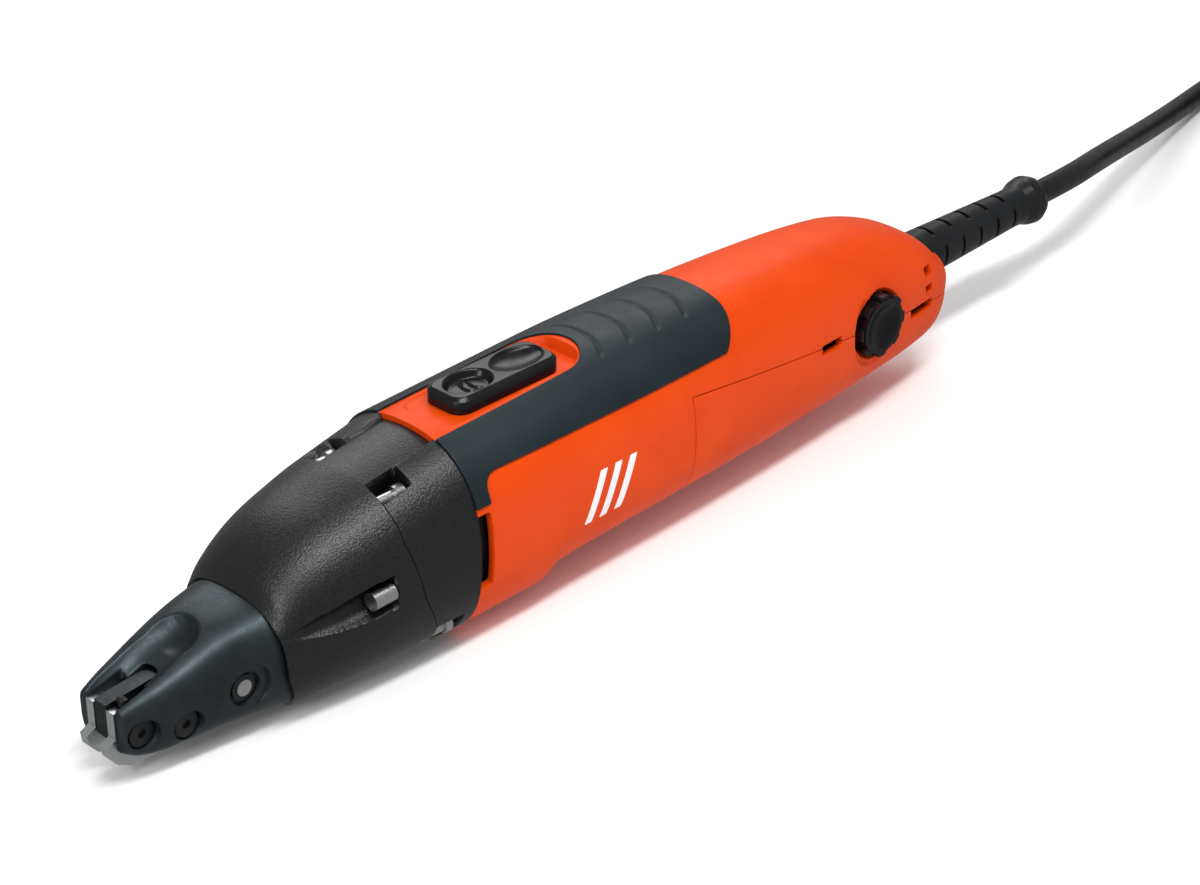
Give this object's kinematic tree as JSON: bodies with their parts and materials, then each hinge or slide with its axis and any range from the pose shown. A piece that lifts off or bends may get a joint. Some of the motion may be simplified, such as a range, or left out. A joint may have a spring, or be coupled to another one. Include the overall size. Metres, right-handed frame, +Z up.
{
  "type": "electric slitting shear",
  "caption": "Corded sheet-metal slitting shear: slim orange motor body with thumb slider and speed dial, black gear head, forked steel cutting head with a rocking blade.",
  "frame": {"origin": "under the middle of the tool without its cord, on the plane its belly rests on", "axes": "+Z up, +X to the rear along the motor's axis, cutting head towards -X, speed dial on the -Y side"},
  "size_m": [0.8929, 0.1002, 0.0652],
  "materials": {
    "orange_shell": "fine moulded satin",
    "white_print": "printed",
    "grip_rubber": "soft matt",
    "black_casting": "fine-textured powder coat",
    "raw_aluminium": "as cast",
    "forged_steel": "dark burnished, satin",
    "blade_steel": "ground",
    "dark_blade_steel": "ground, oiled",
    "black_screw": "black oxide",
    "zinc_steel": "bright zinc plate",
    "bearing_steel": "ground",
    "lamination": "varnished laminations",
    "copper": "enamelled copper",
    "brass_parts": "stamped",
    "carbon": "pressed carbon",
    "inner_plastic": "glass-filled nylon",
    "black_plastic": "satin moulded",
    "circuit_board": "printed board",
    "cord_rubber": "satin sheath",
    "tie_fabric": "hook-and-loop strap",
    "plug_rubber": "satin moulded",
    "plated_brass": "nickel plate"
  },
  "bodies": {
    "tool": {"motor_housing": "orange_shell", "rear_cover": "orange_shell", "grip_pad": "grip_rubber", "side_mark": "white_print", "gear_flange": "black_casting", "gear_housing": "black_casting", "bearing_plate": "black_casting", "bearing_bridge": "raw_aluminium", "cutter_head": "forged_steel", "side_blade_left": "blade_steel", "side_blade_right": "blade_steel", "blade_screws": "black_screw", "pivot_pin": "zinc_steel", "pin_retaining_rings": "black_screw", "chip_guide_pin": "black_screw", "cutter_head_bolts": "zinc_steel", "front_bearing": "bearing_steel", "rear_bearing": "bearing_steel", "crank_front_bearing": "bearing_steel", "crank_rear_bearing": "bearing_steel", "stator_core": "lamination", "field_coils": "copper", "brush_holders": "brass_parts", "carbon_brushes": "carbon", "brush_springs": "bearing_steel", "brush_caps": "inner_plastic", "motor_frame": "inner_plastic", "switch_module": "inner_plastic", "electronics_module": "circuit_board", "dial_control": "inner_plastic", "cable_sleeve": "cord_rubber", "lead_tail": "cord_rubber", "cord_clamp": "inner_plastic", "cord_clamp_screws": "zinc_steel", "cord_seat": "inner_plastic", "flange_screws": "zinc_steel", "gear_housing_screws": "zinc_steel", "cord_lead": "cord_rubber", "cord_coil": "cord_rubber", "coil_tie": "tie_fabric", "plug_lead": "cord_rubber", "plug_body": "plug_rubber", "plug_pins": "plated_brass"},
    "armature": {"armature_shaft": "bearing_steel", "armature_core": "lamination", "armature_windings": "copper", "commutator": "copper", "cooling_fan": "inner_plastic"},
    "crank": {"crank_gear": "bearing_steel", "crank_shaft": "bearing_steel", "crank_roller": "bearing_steel"},
    "rocking_blade": {"centre_blade": "dark_blade_steel"},
    "slider": {"switch_slider": "black_plastic", "switch_link": "inner_plastic"},
    "dial": {"speed_dial": "black_plastic", "dial_shaft": "inner_plastic"}
  },
  "joints": [
    {"name": "armature_spin", "type": "hinge", "parent": "tool", "child": "armature", "pos_m": [0.0119, 0, 0.0304], "axis": [1, 0, 0], "continuous": true},
    {"name": "crank_spin", "type": "hinge", "parent": "tool", "child": "crank", "pos_m": [-0.0751, 0, 0.0164], "axis": [1, 0, 0], "continuous": true},
    {"name": "blade_rock", "type": "hinge", "parent": "tool", "child": "rocking_blade", "pos_m": [-0.1299, 0, 0.018], "axis": [0, 1, 0], "range_deg": [-2, 2]},
    {"name": "switch_slide", "type": "slide", "parent": "tool", "child": "slider", "axis": [-1, 0, 0], "range_m": [0, 0.006]},
    {"name": "dial_turn", "type": "hinge", "parent": "tool", "child": "dial", "pos_m": [0.1193, -0.02, 0.034], "axis": [0, 1, 0], "range_deg": [-135, 135]}
  ],
  "couplings": [
    {"joint": "crank_spin", "follows": "armature_spin", "ratio": -0.25}
  ]
}
